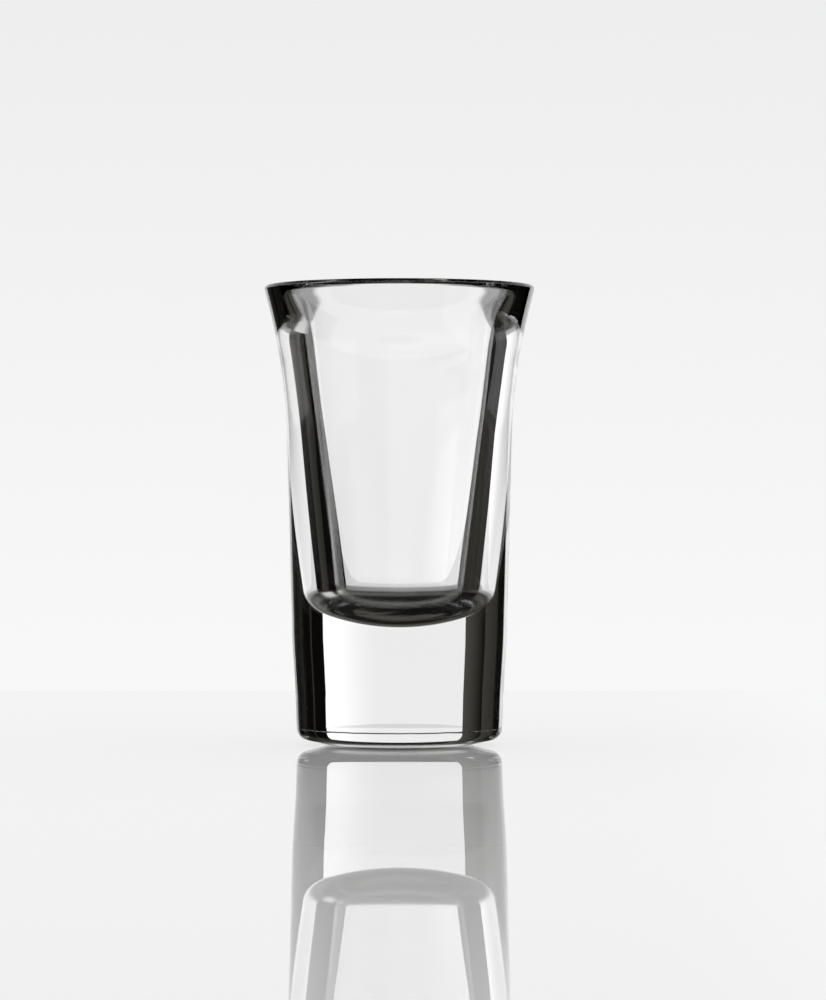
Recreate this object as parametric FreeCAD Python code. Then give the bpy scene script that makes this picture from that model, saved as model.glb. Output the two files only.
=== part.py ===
"""Flared shot glass with a heavy solid base, pressed from one piece of clear glass.

The whole glass is one turned section, drawn in the X-Z plane and revolved about Z.
Millimetres, +Z up, origin at the centre of the base, on the table.
"""
import FreeCAD
import Part
import math
import os

# Overall size
HEIGHT = 75.0
RIM_DIAMETER = 44.1

# Lip: glass thickness at the rim, its two roundings, and the lean and sweep of the flare under it
LIP_THICKNESS = 3.0
LIP_OUTER_RADIUS = 0.6
LIP_INNER_RADIUS = 1.0
OUTER_FLARE_ANGLE = 14.4
INNER_FLARE_ANGLE = 26.0
OUTER_FLARE_RADIUS = 95.0
INNER_FLARE_RADIUS = 14.0

# Outside of the body: a foot band, a shoulder that leans a little more, then the long straight wall
FOOT_DIAMETER = 33.45
FOOT_BAND_HEIGHT = 8.5
FOOT_BAND_DRAFT = 2.0
SHOULDER_HEIGHT = 16.5
SHOULDER_DRAFT = 3.7
BODY_DRAFT = 1.5

# Underside: a heel that rises from a flat standing ring, and a shallow dome inside the ring
HEEL_HEIGHT = 1.35
HEEL_RADIUS = 2.0
STANDING_RING_DIAMETER = 22.8
PUNT_DIAMETER = 20.4
PUNT_DEPTH = 0.7

# Bowl: a dished floor, a rounded corner, and a straight tapered wall whose width is given at one height
BASE_THICKNESS = 19.56
BOWL_FLOOR_RADIUS = 16.85
BOWL_CORNER_RADIUS = 5.5
BOWL_DIAMETER = 22.0
BOWL_GAUGE_HEIGHT = 30.0
BOWL_DRAFT = 6.8

SHARP = 0


def point(radius, height):
    """A point of the turned section."""
    return FreeCAD.Vector(radius, 0, height)


def slope(draft_angle):
    """Radius gained per millimetre of height on a wall that leans outwards."""
    return math.tan(math.radians(draft_angle))


def meeting_point(low, low_draft, high, high_draft):
    """Where a wall that rises from the low point meets one that comes down from the high point."""
    gap = high.x - low.x - slope(high_draft) * (high.z - low.z)
    rise = gap / (slope(low_draft) - slope(high_draft))
    return point(low.x + slope(low_draft) * rise, low.z + rise)


def line(start, end):
    """A straight side of the section."""
    return Part.LineSegment(start, end).toShape()


def arc(centre, radius, start_angle, end_angle):
    """An arc of the section, its angles in radians from +X towards +Z."""
    angles = (start_angle, (start_angle + end_angle) / 2, end_angle)
    ends = [centre + point(radius * math.cos(angle), radius * math.sin(angle)) for angle in angles]
    return Part.Arc(*ends).toShape()


def rounded_corner(before, corner, after, radius):
    """The arc that rounds a corner of the section, tangent to both of its sides."""
    to_before = (before - corner).normalize()
    to_after = (after - corner).normalize()
    half_angle = to_before.getAngle(to_after) / 2
    to_middle = (to_before + to_after).normalize()
    tangent_length = radius / math.tan(half_angle)
    middle = corner + to_middle * (radius / math.sin(half_angle) - radius)
    return Part.Arc(corner + to_before * tangent_length, middle, corner + to_after * tangent_length)


def side_edges(start, corners, end):
    """Straight sides from start to end, with each corner left sharp or rounded to its own radius."""
    points = [start] + [corner for corner, radius in corners] + [end]
    edges = []
    reached = start
    for index, (corner, radius) in enumerate(corners, start=1):
        if radius == SHARP:
            edges.append(line(reached, corner))
            reached = corner
        else:
            rounding = rounded_corner(points[index - 1], corner, points[index + 1], radius)
            edges += [line(reached, rounding.StartPoint), rounding.toShape()]
            reached = rounding.EndPoint
    edges.append(line(reached, end))
    return edges


def punt_edge():
    """The shallow dome under the base, from the axis out to the standing ring."""
    punt_radius = PUNT_DIAMETER / 2
    dome_radius = (punt_radius ** 2 + PUNT_DEPTH ** 2) / (2 * PUNT_DEPTH)
    half_width = math.asin(punt_radius / dome_radius)
    return arc(point(0, PUNT_DEPTH - dome_radius), dome_radius, math.pi / 2, math.pi / 2 - half_width)


def bowl_floor_edges(wall_point):
    """The bowl's rounded corner and dished floor, from the straight wall in to the axis.

    The corner's centre lies one corner radius inside the wall, and one inside the floor's sphere.
    """
    up_the_wall = point(slope(BOWL_DRAFT), 1).normalize()
    into_the_wall = point(up_the_wall.z, -up_the_wall.x)
    floor_centre = point(0, BASE_THICKNESS + BOWL_FLOOR_RADIUS)
    from_floor_centre = wall_point - into_the_wall * BOWL_CORNER_RADIUS - floor_centre
    along_wall = from_floor_centre.dot(up_the_wall)
    reach = BOWL_FLOOR_RADIUS - BOWL_CORNER_RADIUS
    off_wall_squared = from_floor_centre.dot(from_floor_centre) - along_wall ** 2
    way_down = along_wall + math.sqrt(reach ** 2 - off_wall_squared)
    to_corner = from_floor_centre - up_the_wall * way_down
    corner_angle = math.atan2(to_corner.z, to_corner.x)
    wall_angle = math.atan2(into_the_wall.z, into_the_wall.x)
    corner = arc(floor_centre + to_corner, BOWL_CORNER_RADIUS, wall_angle, corner_angle)
    floor = arc(floor_centre, BOWL_FLOOR_RADIUS, corner_angle, -math.pi / 2)
    return corner, floor


def glass_section():
    """The closed half section of the glass."""
    foot_radius = FOOT_DIAMETER / 2
    lean = math.radians(OUTER_FLARE_ANGLE)
    lip_overshoot = LIP_OUTER_RADIUS * (math.tan(lean) + 1 / math.cos(lean) - 1)
    rim_radius = RIM_DIAMETER / 2 + lip_overshoot

    standing_ring = point(STANDING_RING_DIAMETER / 2, 0)
    heel = point(foot_radius, HEEL_HEIGHT)
    band_gain = slope(FOOT_BAND_DRAFT) * (FOOT_BAND_HEIGHT - HEEL_HEIGHT)
    band_top = point(foot_radius + band_gain, FOOT_BAND_HEIGHT)
    shoulder_gain = slope(SHOULDER_DRAFT) * (SHOULDER_HEIGHT - FOOT_BAND_HEIGHT)
    shoulder = point(band_top.x + shoulder_gain, SHOULDER_HEIGHT)
    rim_outer = point(rim_radius, HEIGHT)
    outer_flare = meeting_point(shoulder, BODY_DRAFT, rim_outer, OUTER_FLARE_ANGLE)

    rim_inner = point(rim_radius - LIP_THICKNESS, HEIGHT)
    bowl_wall = point(BOWL_DIAMETER / 2, BOWL_GAUGE_HEIGHT)
    inner_flare = meeting_point(bowl_wall, BOWL_DRAFT, rim_inner, INNER_FLARE_ANGLE)
    bowl_corner, bowl_floor = bowl_floor_edges(bowl_wall)
    wall_foot = bowl_corner.firstVertex().Point

    corners = [
        (standing_ring, SHARP),
        (heel, HEEL_RADIUS),
        (band_top, SHARP),
        (shoulder, SHARP),
        (outer_flare, OUTER_FLARE_RADIUS),
        (rim_outer, LIP_OUTER_RADIUS),
        (rim_inner, LIP_INNER_RADIUS),
        (inner_flare, INNER_FLARE_RADIUS),
    ]
    edges = [punt_edge()]
    edges += side_edges(point(PUNT_DIAMETER / 2, 0), corners, wall_foot)
    edges += [bowl_corner, bowl_floor, line(point(0, BASE_THICKNESS), point(0, PUNT_DEPTH))]
    return Part.Face(Part.Wire(edges))


def shot_glass():
    """The glass, turned from its section."""
    return glass_section().revolve(point(0, 0), FreeCAD.Vector(0, 0, 1), 360)


os.makedirs("parts", exist_ok=True)
shot_glass().exportStep("parts/shot_glass.step")
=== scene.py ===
"""Looks of the shot glass: the same turned section as the CAD part, as a fine smooth mesh in clear glass,
standing on a glossy pale sheet in front of a lit backdrop.

Metres, +Z up, origin at the centre of the base, on the sheet. The camera looks along +Y.
"""

import math

import bpy
import numpy as np
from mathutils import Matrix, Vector, noise


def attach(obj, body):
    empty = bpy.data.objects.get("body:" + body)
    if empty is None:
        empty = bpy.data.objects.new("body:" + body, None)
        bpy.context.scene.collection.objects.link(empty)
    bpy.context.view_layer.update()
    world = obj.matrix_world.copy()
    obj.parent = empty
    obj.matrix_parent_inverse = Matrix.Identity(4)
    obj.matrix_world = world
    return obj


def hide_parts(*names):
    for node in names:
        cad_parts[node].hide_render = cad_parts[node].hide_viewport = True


MM = 0.001

# Section of the glass, in millimetres and degrees, as in the CAD source. Only here the inside of the lip is
# rounder, and the edges of the foot band, the shoulder and the standing ring are blended.
HEIGHT = 75.0
RIM_DIAMETER = 44.1
LIP_THICKNESS = 3.0
LIP_OUTER_RADIUS = 0.6
LIP_INNER_RADIUS = 1.6
OUTER_FLARE_ANGLE = 14.4
INNER_FLARE_ANGLE = 26.0
OUTER_FLARE_RADIUS = 95.0
INNER_FLARE_RADIUS = 14.0
FOOT_DIAMETER = 33.45
FOOT_BAND_HEIGHT = 8.5
FOOT_BAND_DRAFT = 2.0
SHOULDER_HEIGHT = 16.5
SHOULDER_DRAFT = 3.7
BODY_DRAFT = 1.5
BAND_BLEND_RADIUS = 25.0
HEEL_HEIGHT = 1.35
HEEL_RADIUS = 2.0
STANDING_RING_DIAMETER = 22.8
STANDING_RING_RADIUS = 1.0
PUNT_DIAMETER = 20.4
PUNT_DEPTH = 0.7
BASE_THICKNESS = 19.56
BOWL_FLOOR_RADIUS = 16.85
BOWL_CORNER_RADIUS = 5.5
BOWL_DIAMETER = 22.0
BOWL_GAUGE_HEIGHT = 30.0
BOWL_DRAFT = 6.8
SHARP = 0

# Fineness of the mesh: steps round the glass, then the most degrees in a step of an arc, and the most
# millimetres in any step of the section. Points closer than the last value are one point.
TURN_STEPS = 384
ARC_STEP = 4.0
STEP_LENGTH = 1.0
SAME_POINT = 1e-6

# Marks of pressing, in millimetres. The skin is how far the surface is set back, so that they stay inside the
# true size. The mould seam runs round the front of the foot, grows over a span from back to front, and lies
# in close rows of the mesh. Fine rings lie on the floor of the bowl.
OUTER_SKIN = 0.014
BOWL_SKIN = 0.004
SEAM_HEIGHT = 3.0
SEAM_WIDTH = 0.13
SEAM_DEPTH = 0.025
SEAM_SPAN = (-6.0, 6.0)
SEAM_ZONE = 0.5
SEAM_STEP = 0.06
RING_DEPTH = 0.0022
RING_WIDTH = 0.6

# Smooth random waves of the surface: depth, width and height in millimetres, and a place in the noise
SEAM_WAVE = (0.07, 2.3, 1.0, 5.0)
OUTER_WAVE = (0.008, 7.0, 22.0, 3.0)
BOWL_STROKES = (0.0025, 1.2, 24.0, 23.0)
BOWL_WAVE = (0.010, 6.0, 30.0, 29.0)
FLARE_WAVE = (0.003, 1.4, 3.5, 31.0)

# Spans over which marks grow, or fade on the floor: heights and radii in millimetres, and for the heel the
# upward part of the surface's normal, which is -1 where the glass faces the sheet
FOOT_SPAN = (0.3, 1.0)
HEEL_TURN = (-0.97, -0.3)
BOWL_WALL_SPAN = (27.0, 33.0)
FLARE_SPAN = (62.0, 67.0)
LIP_SPAN = (68.0, 74.0)
FLOOR_HEIGHT_SPAN = (24.0, 27.0)
FLOOR_RADIUS_SPAN = (8.0, 9.5)
RING_SPAN = (0.0, 1.0)

# Glass: its index and how much it absorbs
GLASS_INDEX = 1.515
GLASS_TINT = (0.5, 0.5, 0.5, 1)
GLASS_DENSITY = 5.5

# Wear, as roughness: scratches on the lip, scuffs on the foot, and the matte floor of the bowl. An edge is a
# value and its softness, and a band is two values and their softness. Heights and radii are in metres.
SCRATCH_ROUGHNESS = 0.12
SCRATCH_STRETCH = (1.0, 1.0, 0.16)
SCRATCH_SCALE = 2600.0
SCRATCH_EDGE = (0.67, 0.03)
WIPE_SCALE = 160.0
WIPE_EDGE = (0.50, 0.08)
LIP_EDGE = (0.0655, 0.0015)
SCUFF_ROUGHNESS = 0.12
SCUFF_EDGE = (0.00025, 0.0002)
FLOOR_ROUGHNESS = 0.18
FLOOR_EDGE = (0.0125, 0.0005)
FLOOR_BAND = (0.015, 0.0255, 0.0015)

# Camera: where it stands, in metres, and its lens and sensor, in millimetres
CAMERA_DISTANCE = 0.630
CAMERA_HEIGHT = 0.040
CAMERA_SIDE = 0.0022
LENS = 139.0
SENSOR = 36.0

# Sheet that the glass stands on. Half of its brightness is painted light: a glow, though it is no lamp, that
# also lightens the glass's shadow on it. The glow is strongest far in front, and fades as painted shade
# towards the back, weakest along the back edge.
SHEET_BACK = 0.179
SHEET_FRONT = -0.9
SHEET_HALF_WIDTH = 0.9
SHEET_COLOUR = (0.82, 0.82, 0.82, 1)
SHEET_GLOSS_INDEX = 1.26
SHEET_SEEN_THROUGH = (0.8, 0.8, 0.8, 1)
SHEET_GLOW = 0.74
SHEET_GLOW_SHARE = 0.5
GLOW_LOSS = 0.20
GLOW_LOSS_EDGE = (-0.10, 0.25)
BACK_GLOW_LOSS = 0.05
BACK_GLOW_LOSS_EDGE = (0.152, 0.006)

# Painted light on the sheet under the front of the glass, where its base would focus light: a bright ring
# of glow, and a faint one round it. A ring has its inner and outer radius and their softness, in metres.
FOCUS_GLOW = 1.35
FOCUS_RING = (0.0120, 0.0130, 0.0004)
OUTER_FOCUS_RING = (0.0130, 0.0175, 0.0004)
OUTER_FOCUS_SHARE = 0.10
FOCUS_FRONT_EDGE = (-0.007, 0.002)

# Lit backdrop: its sides, its distance behind the glass, and its foot, which is wider to the right
BACKDROP_LEFT = -0.321
BACKDROP_RIGHT = 0.410
BACKDROP_LOW = -0.30
BACKDROP_HIGH = 0.355
BACKDROP_DISTANCE = 0.65
FOOT_WIDENING = 0.045
FOOT_BEND_SHARE = 0.6
FOOT_BEND_HEIGHT = -0.13
FOOT_TOP = 0.03

# Glow of the backdrop: strongest above, fading in two steps towards its foot, and growing to the right
UPPER_GLOW = 0.63
UPPER_GLOW_EDGE = (-0.120, 0.014)
LOWER_GLOW = 0.33
LOWER_GLOW_EDGE = (-0.202, 0.026)
FOOT_GLOW = 0.04
RIGHT_GLOW_GAIN = 0.25
RIGHT_GLOW_EDGE = (0.20, 0.14)

# The room, in degrees of azimuth, from +Y towards +X, and of elevation. A zone has its left and right sides
# and their softness, then its foot and top and their softness.
ROOM_GLOW = 0.92
LIT_LEFT = (-130, -71, 1.5, -15.5, 6, 1.0)
LIT_LOW_LEFT = (-60, -33, 5.0, -39, -20.5, 1.0)
LIT_FRONT_RIGHT_EDGE = (105, 2.0)
LIT_FRONT_LEFT_EDGE = (-165, 2.0)
LIT_FRONT_BAND = (-32, -9, 1.0)
GLOSS_BAND = (0.5, 33, 0.5)

# Faint light between the lit zones, which the dark parts of the glass show. It is warm, and the lit zones are
# white. The strips at the back left get brighter towards the right, by a gain for each degree.
DARK = 0.003
DIM_RIGHT = (33, 80, 3.0, -22, -9, 3.0)
DIM_RIGHT_GLOW = 0.035
DIM_BEHIND = (-22, 26, 6.0, -40, -24, 3.0)
DIM_BEHIND_GLOW = 0.12
RIGHT_LINES = (((42.8, 44.4, 0.4), 0.022), ((55.0, 57.4, 0.4), 0.013))
NEAR_STRIP = (-41, -25, 0.5)
NEAR_STRIP_GAIN = 0.0052
NEAR_STRIP_GAIN_EDGE = (-8, 2.0)
NEAR_STRIP_FOOT_GLOW = 0.11
NEAR_STRIP_FOOT_EDGE = (-17, 2.0)
FAR_STRIP = (-56, -41, 0.5)
FAR_STRIP_GLOW = 0.028
FAR_STRIP_GAIN = 0.0014
WARM_WHITE = (1, 0.955, 0.79, 1)
WHITE = (1, 1, 1, 1)
WARM_EDGE = (0.3, 0.15)

# What the camera sees behind the glass: the level at the horizon, and how it falls with each degree above
VIEW_GLOW = 0.918
VIEW_FALL = 0.0088
VIEW_FOOT = -2.0

LIGHT_BOUNCES = 12


# ---- section ---------------------------------------------------------------------------------------------

def slope(draft_angle):
    """Radius gained per millimetre of height on a wall that leans outwards."""
    return math.tan(math.radians(draft_angle))


def meeting_point(low, low_draft, high, high_draft):
    """Where a wall that rises from the low point meets one that comes down from the high point."""
    gap = high[0] - low[0] - slope(high_draft) * (high[1] - low[1])
    rise = gap / (slope(low_draft) - slope(high_draft))
    return np.array([low[0] + slope(low_draft) * rise, low[1] + rise])


def arc(centre, radius, start_angle, end_angle):
    """Points of an arc, both ends included."""
    sweep = abs(end_angle - start_angle)
    steps = max(2, math.ceil(sweep / math.radians(ARC_STEP)), math.ceil(sweep * radius / STEP_LENGTH))
    angles = np.linspace(start_angle, end_angle, steps + 1)
    return [centre + radius * np.array([math.cos(a), math.sin(a)]) for a in angles]


def rounded_corner(before, corner, after, radius):
    """Points of the arc that rounds a corner of the section, tangent to both of its sides."""
    to_before = (before - corner) / np.linalg.norm(before - corner)
    to_after = (after - corner) / np.linalg.norm(after - corner)
    half_angle = math.acos(to_before @ to_after) / 2
    to_middle = (to_before + to_after) / np.linalg.norm(to_before + to_after)
    centre = corner + to_middle * radius / math.sin(half_angle)
    first = corner + to_before * radius / math.tan(half_angle) - centre
    last = corner + to_after * radius / math.tan(half_angle) - centre
    start = math.atan2(first[1], first[0])
    turn = (math.atan2(last[1], last[0]) - start + math.pi) % (2 * math.pi) - math.pi
    return arc(centre, radius, start, start + turn)


def punt():
    """The shallow dome under the base, from the axis to its edge."""
    edge_radius = PUNT_DIAMETER / 2
    radius = (edge_radius ** 2 + PUNT_DEPTH ** 2) / (2 * PUNT_DEPTH)
    half_sweep = math.asin(edge_radius / radius)
    points = arc(np.array([0.0, PUNT_DEPTH - radius]), radius, math.pi / 2, math.pi / 2 - half_sweep)
    points[0] = np.array([0.0, PUNT_DEPTH])
    return points


def bowl_floor(wall_point):
    """The rounded corner and the dished floor of the bowl, from the straight wall to the axis."""
    up = np.array([slope(BOWL_DRAFT), 1.0])
    up /= np.linalg.norm(up)
    outwards = np.array([up[1], -up[0]])
    dish_centre = np.array([0.0, BASE_THICKNESS + BOWL_FLOOR_RADIUS])
    offset = wall_point - BOWL_CORNER_RADIUS * outwards - dish_centre
    along = offset @ up
    down = along + math.sqrt(along ** 2 - offset @ offset + (BOWL_FLOOR_RADIUS - BOWL_CORNER_RADIUS) ** 2)
    corner_centre = dish_centre + offset - down * up
    to_corner = corner_centre - dish_centre
    corner_angle = math.atan2(to_corner[1], to_corner[0])
    corner = arc(corner_centre, BOWL_CORNER_RADIUS, math.atan2(outwards[1], outwards[0]), corner_angle)
    floor = arc(dish_centre, BOWL_FLOOR_RADIUS, corner_angle, -math.pi / 2)
    floor[-1] = np.array([0.0, BASE_THICKNESS])
    return corner + floor[1:]


def cut(start, end, steps):
    """Points that cut the way from the start to the end into equal steps, without the start."""
    return [start + (end - start) * k / steps for k in range(1, steps + 1)]


def filled(points):
    """The outline with its long straight sides cut into short ones."""
    out = [points[0]]
    for point in points[1:]:
        length = np.linalg.norm(point - out[-1])
        if length > SAME_POINT:
            out += cut(out[-1], point, math.ceil(length / STEP_LENGTH))
    return out


def with_seam_rows(points):
    """The outline with close rows on the outside wall where the mould seam runs."""
    out = [points[0]]
    for point in points[1:]:
        middle = (out[-1][1] + point[1]) / 2
        by_seam = abs(middle - SEAM_HEIGHT) < SEAM_ZONE
        steps = math.ceil(np.linalg.norm(point - out[-1]) / SEAM_STEP) if by_seam else 1
        out += cut(out[-1], point, steps)
    return out


def glass_outline():
    """The half section, from the axis under the base, over the lip, to the axis in the bowl."""
    foot_radius = FOOT_DIAMETER / 2
    lean = math.radians(OUTER_FLARE_ANGLE)
    lip_overshoot = LIP_OUTER_RADIUS * (math.tan(lean) + 1 / math.cos(lean) - 1)
    rim_radius = RIM_DIAMETER / 2 + lip_overshoot

    band_radius = foot_radius + slope(FOOT_BAND_DRAFT) * (FOOT_BAND_HEIGHT - HEEL_HEIGHT)
    band_top = np.array([band_radius, FOOT_BAND_HEIGHT])
    shoulder_radius = band_radius + slope(SHOULDER_DRAFT) * (SHOULDER_HEIGHT - FOOT_BAND_HEIGHT)
    shoulder = np.array([shoulder_radius, SHOULDER_HEIGHT])
    rim_outer = np.array([rim_radius, HEIGHT])
    outer_flare = meeting_point(shoulder, BODY_DRAFT, rim_outer, OUTER_FLARE_ANGLE)
    rim_inner = np.array([rim_radius - LIP_THICKNESS, HEIGHT])
    bowl_wall = np.array([BOWL_DIAMETER / 2, BOWL_GAUGE_HEIGHT])
    inner_flare = meeting_point(bowl_wall, BOWL_DRAFT, rim_inner, INNER_FLARE_ANGLE)
    bowl_end = bowl_floor(bowl_wall)

    corners = [
        (np.array([PUNT_DIAMETER / 2, 0.0]), SHARP),
        (np.array([STANDING_RING_DIAMETER / 2, 0.0]), STANDING_RING_RADIUS),
        (np.array([foot_radius, HEEL_HEIGHT]), HEEL_RADIUS),
        (band_top, BAND_BLEND_RADIUS),
        (shoulder, BAND_BLEND_RADIUS),
        (outer_flare, OUTER_FLARE_RADIUS),
        (rim_outer, LIP_OUTER_RADIUS),
        (rim_inner, LIP_INNER_RADIUS),
        (inner_flare, INNER_FLARE_RADIUS),
        (bowl_end[0], SHARP),
    ]
    points = punt()
    for (before, _), (corner, radius), (after, _) in zip(corners, corners[1:], corners[2:]):
        points += rounded_corner(before, corner, after, radius)
    return with_seam_rows(filled(points + bowl_end))


# ---- marks of pressing -----------------------------------------------------------------------------------

def fade(value, low, high):
    """0 at the low value, 1 at the high value, smooth between them."""
    t = min(max((value - low) / (high - low), 0.0), 1.0)
    return t * t * (3 - 2 * t)


def ripple(wave, x, y, z):
    """How far a smooth random wave lifts the surface at a point, in millimetres."""
    depth, width, height, place = wave
    return depth * noise.noise(Vector((x / width + place, y / width + place, z / height)))


def outer_marks(x, y, z, normal):
    """How far the pressed outside stands out of the true section, in millimetres, at a point of it."""
    seam_height = SEAM_HEIGHT + ripple(SEAM_WAVE, x, y, 0)
    seam = SEAM_DEPTH * math.exp(-((z - seam_height) / SEAM_WIDTH) ** 2) * fade(-y, *SEAM_SPAN)
    broad = ripple(OUTER_WAVE, x, y, z) * (1 - fade(z, *LIP_SPAN))
    return (broad - seam - OUTER_SKIN) * fade(normal[1], *HEEL_TURN) * fade(z, *FOOT_SPAN)


def bowl_marks(x, y, z):
    """How far the pressed bowl stands out of the true section, in millimetres, at a point of it."""
    radius = math.hypot(x, y)
    lip = fade(z, *LIP_SPAN)
    drawn = ripple(BOWL_STROKES, x, y, z) + ripple(BOWL_WAVE, x, y, z)
    flare = ripple(FLARE_WAVE, x, y, z) * fade(z, *FLARE_SPAN)
    wall = (drawn + flare) * fade(z, *BOWL_WALL_SPAN) * (1 - lip)
    floor = (1 - fade(radius, *FLOOR_RADIUS_SPAN)) * (1 - fade(z, *FLOOR_HEIGHT_SPAN))
    rings = RING_DEPTH * noise.noise(Vector((radius / RING_WIDTH, 0.0, 0.0))) * floor
    return wall + rings * fade(radius, *RING_SPAN) - BOWL_SKIN - (OUTER_SKIN - BOWL_SKIN) * lip


def pressing_marks(x, y, z, normal):
    """How far the pressed surface stands out of the true section, in millimetres, at a point of it."""
    if normal[1] < HEEL_TURN[0]:
        return 0.0
    if normal[0] > 0:
        return outer_marks(x, y, z, normal)
    return bowl_marks(x, y, z)


def turned_mesh(name, outline):
    """A closed mesh from an outline (radius, height) in millimetres that starts and ends on the axis."""
    angles = [2 * math.pi * k / TURN_STEPS for k in range(TURN_STEPS)]
    ring = [(math.cos(a), math.sin(a)) for a in angles]
    vertices = [(0, 0, outline[0][1] * MM)]
    for before, (radius, height), after in zip(outline, outline[1:], outline[2:]):
        along = after - before
        normal = np.array([along[1], -along[0]]) / np.linalg.norm(along)
        for c, s in ring:
            out = pressing_marks(radius * c, radius * s, height, normal)
            r = radius + out * normal[0]
            vertices.append((r * c * MM, r * s * MM, (height + out * normal[1]) * MM))
    vertices.append((0, 0, outline[-1][1] * MM))
    last = len(vertices) - 1
    top = last - TURN_STEPS
    faces = []
    for k in range(TURN_STEPS):
        n = (k + 1) % TURN_STEPS
        faces.append((0, 1 + n, 1 + k))
        for low in range(1, top, TURN_STEPS):
            high = low + TURN_STEPS
            faces.append((low + k, low + n, high + n, high + k))
        faces.append((top + k, top + n, last))
    mesh = bpy.data.meshes.new(name)
    mesh.from_pydata(vertices, [], faces)
    mesh.polygons.foreach_set("use_smooth", [True] * len(faces))
    mesh.update()
    obj = bpy.data.objects.new(name, mesh)
    bpy.context.scene.collection.objects.link(obj)
    return obj


# ---- materials -------------------------------------------------------------------------------------------

class Nodes:
    """Short calls for building a node tree."""

    def __init__(self, tree):
        self.tree = tree
        tree.nodes.clear()

    def add(self, kind, inputs=None, **settings):
        """A node of that kind, with its settings, and with each input set or linked."""
        node = self.tree.nodes.new(kind)
        for key, value in settings.items():
            setattr(node, key, value)
        for key, value in (inputs or {}).items():
            if isinstance(value, bpy.types.NodeSocket):
                self.tree.links.new(value, node.inputs[key])
            else:
                node.inputs[key].default_value = value
        return node

    def math(self, operation, *values):
        return self.add("ShaderNodeMath", dict(enumerate(values)), operation=operation).outputs[0]

    def plus(self, first, *others):
        """The sum of the values."""
        for value in others:
            first = self.math("ADD", first, value)
        return first

    def times(self, first, *others):
        """The product of the values."""
        for value in others:
            first = self.math("MULTIPLY", first, value)
        return first

    def inverse(self, value):
        """1 where the value is 0, and 0 where it is 1."""
        return self.math("SUBTRACT", 1.0, value)

    def rise(self, value, edge, softness):
        """0 below the edge, 1 above it, with a smooth step of that softness."""
        span = {"Value": value, "From Min": edge - softness, "From Max": edge + softness}
        return self.add("ShaderNodeMapRange", span, interpolation_type="SMOOTHSTEP").outputs["Result"]

    def between(self, value, low, high, softness):
        """1 between the low and the high value, 0 outside them, with smooth steps of that softness."""
        return self.times(self.rise(value, low, softness), self.inverse(self.rise(value, high, softness)))

    def zone(self, azimuth, elevation, zone):
        """1 in a zone of the room, 0 outside it."""
        return self.times(self.between(azimuth, *zone[:3]), self.between(elevation, *zone[3:]))

    def coordinate(self, place, axis):
        return self.add("ShaderNodeSeparateXYZ", {0: place}).outputs[axis]

    def length(self, vector):
        return self.add("ShaderNodeVectorMath", {0: vector}, operation="LENGTH").outputs["Value"]

    def noise(self, place, scale):
        return self.add("ShaderNodeTexNoise", {"Vector": place, "Scale": scale, "Detail": 1.0}).outputs["Fac"]

    def glow(self, strength):
        return self.add("ShaderNodeEmission", {"Color": WHITE, "Strength": strength}).outputs[0]

    def sky(self, strength, colour=WHITE):
        return self.add("ShaderNodeBackground", {"Color": colour, "Strength": strength}).outputs[0]

    def mix(self, share, first, second):
        """The first shader, with that share of the second."""
        return self.add("ShaderNodeMixShader", {0: share, 1: first, 2: second}).outputs[0]


def new_material(name):
    """A material and its empty node tree."""
    material = bpy.data.materials.new(name)
    material.use_nodes = True
    return material, Nodes(material.node_tree)


def glass_wear(n):
    """Roughness of the worn lip, the scuffed foot and the matte floor of the bowl."""
    place = n.add("ShaderNodeTexCoord").outputs["Object"]
    height = n.coordinate(place, "Z")
    drawn = n.add("ShaderNodeMapping", {"Vector": place, "Scale": SCRATCH_STRETCH}).outputs[0]
    strokes = n.rise(n.noise(drawn, SCRATCH_SCALE), *SCRATCH_EDGE)
    wiped = n.rise(n.noise(place, WIPE_SCALE), *WIPE_EDGE)
    scratches = n.times(strokes, wiped, n.rise(height, *LIP_EDGE), SCRATCH_ROUGHNESS)
    scuffs = n.times(n.inverse(n.rise(height, *SCUFF_EDGE)), SCUFF_ROUGHNESS)
    flat = n.add("ShaderNodeVectorMath", {0: place, 1: (1, 1, 0)}, operation="MULTIPLY").outputs["Vector"]
    inside = n.inverse(n.rise(n.length(flat), *FLOOR_EDGE))
    floor = n.times(inside, n.between(height, *FLOOR_BAND), FLOOR_ROUGHNESS)
    return n.plus(scratches, scuffs, floor)


def glass_material():
    """Clear glass that absorbs a little."""
    material, n = new_material("clear_glass")
    surface = n.add("ShaderNodeBsdfPrincipled", {
        "Base Color": WHITE, "Roughness": glass_wear(n), "IOR": GLASS_INDEX, "Transmission Weight": 1.0})
    depth = n.add("ShaderNodeVolumeAbsorption", {"Color": GLASS_TINT, "Density": GLASS_DENSITY})
    n.add("ShaderNodeOutputMaterial", {"Surface": surface.outputs[0], "Volume": depth.outputs[0]})
    return material


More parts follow.
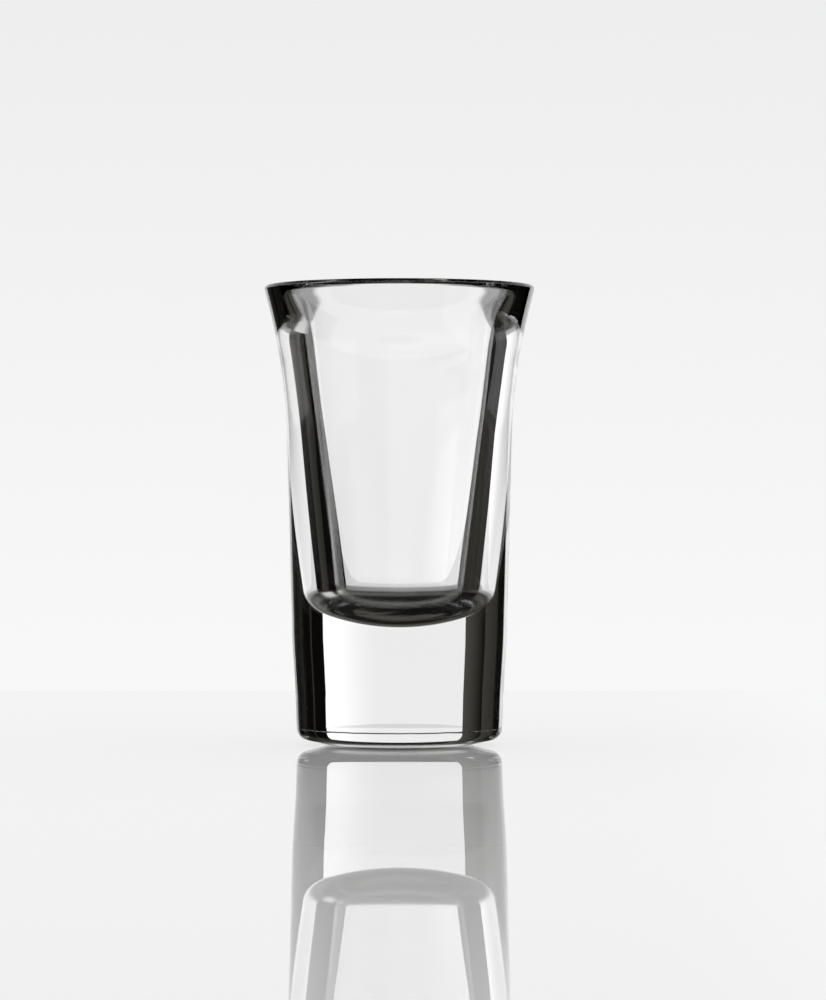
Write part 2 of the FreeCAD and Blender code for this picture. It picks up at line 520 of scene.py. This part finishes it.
def sheet_material():
    """A pale glossy sheet, half of its brightness a painted glow, which fades as painted shade to the back.
    Glass and gloss see through it, and see painted rings of the light that the base would focus on it.
    """
    material, n = new_material("glossy_sheet")
    path = n.add("ShaderNodeLightPath")
    transmission, glossy = path.outputs["Is Transmission Ray"], path.outputs["Is Glossy Ray"]
    place = n.add("ShaderNodeTexCoord").outputs["Object"]
    along = n.coordinate(place, "Y")
    from_glass = n.length(place)

    pale = n.add("ShaderNodeBsdfDiffuse", {"Color": SHEET_COLOUR}).outputs[0]
    # Painted shade: the glow falls towards the back of the sheet, and once more along its back edge.
    painted_shade = n.plus(n.times(n.rise(along, *GLOW_LOSS_EDGE), GLOW_LOSS),
                  n.times(n.rise(along, *BACK_GLOW_LOSS_EDGE), BACK_GLOW_LOSS))
    # Half of what the sheet shows is painted glow, which also lightens the glass's shadow on it.
    seen = n.mix(SHEET_GLOW_SHARE, pale, n.glow(n.math("SUBTRACT", SHEET_GLOW, painted_shade)))

    # Painted light: rings of glow under the front of the base, where it would focus light. Only gloss shows
    # them.
    before = n.inverse(n.rise(along, *FOCUS_FRONT_EDGE))
    bright_ring = n.times(n.between(from_glass, *FOCUS_RING), before)
    faint_ring = n.times(n.between(from_glass, *OUTER_FOCUS_RING), before, OUTER_FOCUS_SHARE)
    focus = n.times(n.plus(bright_ring, faint_ring), n.inverse(transmission))
    clear = n.add("ShaderNodeBsdfTransparent", {"Color": SHEET_SEEN_THROUGH}).outputs[0]
    body = n.mix(n.math("MAXIMUM", transmission, glossy), seen, n.mix(focus, clear, n.glow(FOCUS_GLOW)))

    mirror = n.add("ShaderNodeBsdfGlossy", {"Color": WHITE, "Roughness": 0.0}).outputs[0]
    fresnel = n.add("ShaderNodeFresnel", {"IOR": SHEET_GLOSS_INDEX}).outputs[0]
    surface = n.mix(n.times(fresnel, n.inverse(glossy)), body, mirror)
    n.add("ShaderNodeOutputMaterial", {"Surface": surface})
    return material


def backdrop_material():
    """A glow that fades towards the backdrop's foot and grows towards its right side."""
    material, n = new_material("backdrop")
    place = n.add("ShaderNodeTexCoord").outputs["Object"]
    height = n.coordinate(place, "Z")
    upper = n.times(n.rise(height, *UPPER_GLOW_EDGE), UPPER_GLOW)
    lower = n.plus(n.times(n.rise(height, *LOWER_GLOW_EDGE), LOWER_GLOW), FOOT_GLOW)
    right = n.plus(n.times(n.rise(n.coordinate(place, "X"), *RIGHT_GLOW_EDGE), RIGHT_GLOW_GAIN), 1.0)
    n.add("ShaderNodeOutputMaterial", {"Surface": n.glow(n.times(n.plus(upper, lower), right))})
    return material


# ---- room ------------------------------------------------------------------------------------------------

def lit_zones(n, azimuth, elevation):
    """Where the glass passes on light: from its left, from low on its left and from before it."""
    right = n.rise(azimuth, *LIT_FRONT_RIGHT_EDGE)
    left = n.inverse(n.rise(azimuth, *LIT_FRONT_LEFT_EDGE))
    front = n.times(n.math("MAXIMUM", right, left), n.between(elevation, *LIT_FRONT_BAND))
    sides = n.math("MAXIMUM", n.zone(azimuth, elevation, LIT_LEFT), n.zone(azimuth, elevation, LIT_LOW_LEFT))
    return n.math("MAXIMUM", front, sides)


def faint_light(n, azimuth, elevation):
    """The dim strips, lines and patches between the lit zones."""
    upper_gain = n.times(n.rise(elevation, *NEAR_STRIP_GAIN_EDGE), NEAR_STRIP_GAIN)
    near_upper = n.times(n.math("SUBTRACT", azimuth, NEAR_STRIP[0]), upper_gain)
    near_foot = n.times(n.inverse(n.rise(elevation, *NEAR_STRIP_FOOT_EDGE)), NEAR_STRIP_FOOT_GLOW)
    near = n.times(n.between(azimuth, *NEAR_STRIP), n.plus(near_upper, near_foot))
    far_glow = n.plus(n.times(n.math("SUBTRACT", azimuth, FAR_STRIP[0]), FAR_STRIP_GAIN), FAR_STRIP_GLOW)
    far = n.times(n.between(azimuth, *FAR_STRIP), far_glow)
    lines = [n.times(n.between(azimuth, *line), glow) for line, glow in RIGHT_LINES]
    right = n.times(n.zone(azimuth, elevation, DIM_RIGHT), DIM_RIGHT_GLOW)
    behind = n.times(n.zone(azimuth, elevation, DIM_BEHIND), DIM_BEHIND_GLOW)
    return n.plus(DARK, near, far, *lines, right, behind)


def build_world():
    """Plain even light for surfaces. Glass and gloss show lit zones and dark surroundings."""
    world = bpy.data.worlds.new("studio")
    bpy.context.scene.world = world
    world.use_nodes = True
    n = Nodes(world.node_tree)
    direction = n.add("ShaderNodeTexCoord").outputs["Generated"]
    xyz = n.add("ShaderNodeSeparateXYZ", {0: direction}).outputs
    azimuth = n.times(n.math("ARCTAN2", xyz["X"], xyz["Y"]), math.degrees(1))
    elevation = n.times(n.math("ARCSINE", xyz["Z"]), math.degrees(1))

    path = n.add("ShaderNodeLightPath")
    transmission, glossy = path.outputs["Is Transmission Ray"], path.outputs["Is Glossy Ray"]
    through_glass = n.times(lit_zones(n, azimuth, elevation), transmission)
    in_gloss = n.times(n.between(elevation, *GLOSS_BAND), n.inverse(transmission))
    lit = n.times(n.plus(through_glass, in_gloss), ROOM_GLOW)
    level = n.math("MAXIMUM", lit, faint_light(n, azimuth, elevation))
    colour = n.add("ShaderNodeMix", {"Factor": n.rise(level, *WARM_EDGE), 6: WARM_WHITE, 7: WHITE},
                   data_type="RGBA").outputs[2]
    fall = n.times(n.math("MAXIMUM", elevation, VIEW_FOOT), VIEW_FALL)
    view = n.sky(n.math("SUBTRACT", VIEW_GLOW, fall))
    around = n.mix(n.math("MAXIMUM", transmission, glossy), n.sky(1.0), n.sky(level, colour))
    n.add("ShaderNodeOutputWorld", {"Surface": n.mix(path.outputs["Is Camera Ray"], around, view)})


# ---- scene -----------------------------------------------------------------------------------------------

def card(name, outline, material):
    """A flat face of the set."""
    mesh = bpy.data.meshes.new(name)
    mesh.from_pydata(outline, [], [tuple(range(len(outline)))])
    mesh.materials.append(material)
    obj = bpy.data.objects.new(name, mesh)
    bpy.context.scene.collection.objects.link(obj)
    return obj


def build_sheet():
    """The sheet that the glass stands on."""
    x = SHEET_HALF_WIDTH
    outline = [(-x, SHEET_FRONT, 0), (x, SHEET_FRONT, 0), (x, SHEET_BACK, 0), (-x, SHEET_BACK, 0)]
    sheet = card("sheet", outline, sheet_material())


def build_backdrop():
    """The lit backdrop, as glass and gloss show it."""
    y = BACKDROP_DISTANCE
    outline = [(BACKDROP_LEFT, y, BACKDROP_LOW),
               (BACKDROP_RIGHT + FOOT_WIDENING, y, BACKDROP_LOW),
               (BACKDROP_RIGHT + FOOT_BEND_SHARE * FOOT_WIDENING, y, FOOT_BEND_HEIGHT),
               (BACKDROP_RIGHT, y, FOOT_TOP),
               (BACKDROP_RIGHT, y, BACKDROP_HIGH),
               (BACKDROP_LEFT, y, BACKDROP_HIGH)]
    backdrop = card("backdrop", outline, backdrop_material())
    backdrop.visible_camera = False
    backdrop.visible_diffuse = False
    backdrop.visible_shadow = False


def build_camera():
    """A level camera before the glass, a little above the middle of its height."""
    data = bpy.data.cameras.new("camera")
    data.sensor_width = SENSOR
    data.lens = LENS
    camera = bpy.data.objects.new("camera", data)
    camera.location = (CAMERA_SIDE, -CAMERA_DISTANCE, CAMERA_HEIGHT)
    camera.rotation_euler = (math.pi / 2, 0, 0)
    bpy.context.scene.collection.objects.link(camera)
    bpy.context.scene.camera = camera


def corners(bounds):
    """The two corners of a box, as plain lists."""
    return [list(corner) for corner in bounds]


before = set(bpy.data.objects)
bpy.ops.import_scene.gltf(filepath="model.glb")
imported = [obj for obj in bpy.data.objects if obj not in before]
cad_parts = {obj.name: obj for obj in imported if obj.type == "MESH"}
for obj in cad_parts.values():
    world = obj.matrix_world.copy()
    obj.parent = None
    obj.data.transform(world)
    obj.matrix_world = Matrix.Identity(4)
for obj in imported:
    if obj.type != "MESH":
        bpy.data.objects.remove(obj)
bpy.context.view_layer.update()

glass = turned_mesh("glass_body", glass_outline())
glass.data.materials.append(glass_material())
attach(glass, "root")
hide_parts("shot_glass")

build_sheet()
build_backdrop()
build_world()
build_camera()

scene = bpy.context.scene
scene.view_settings.view_transform = "Standard"
scene.cycles.max_bounces = LIGHT_BOUNCES
scene.cycles.glossy_bounces = LIGHT_BOUNCES
scene.cycles.transmission_bounces = LIGHT_BOUNCES
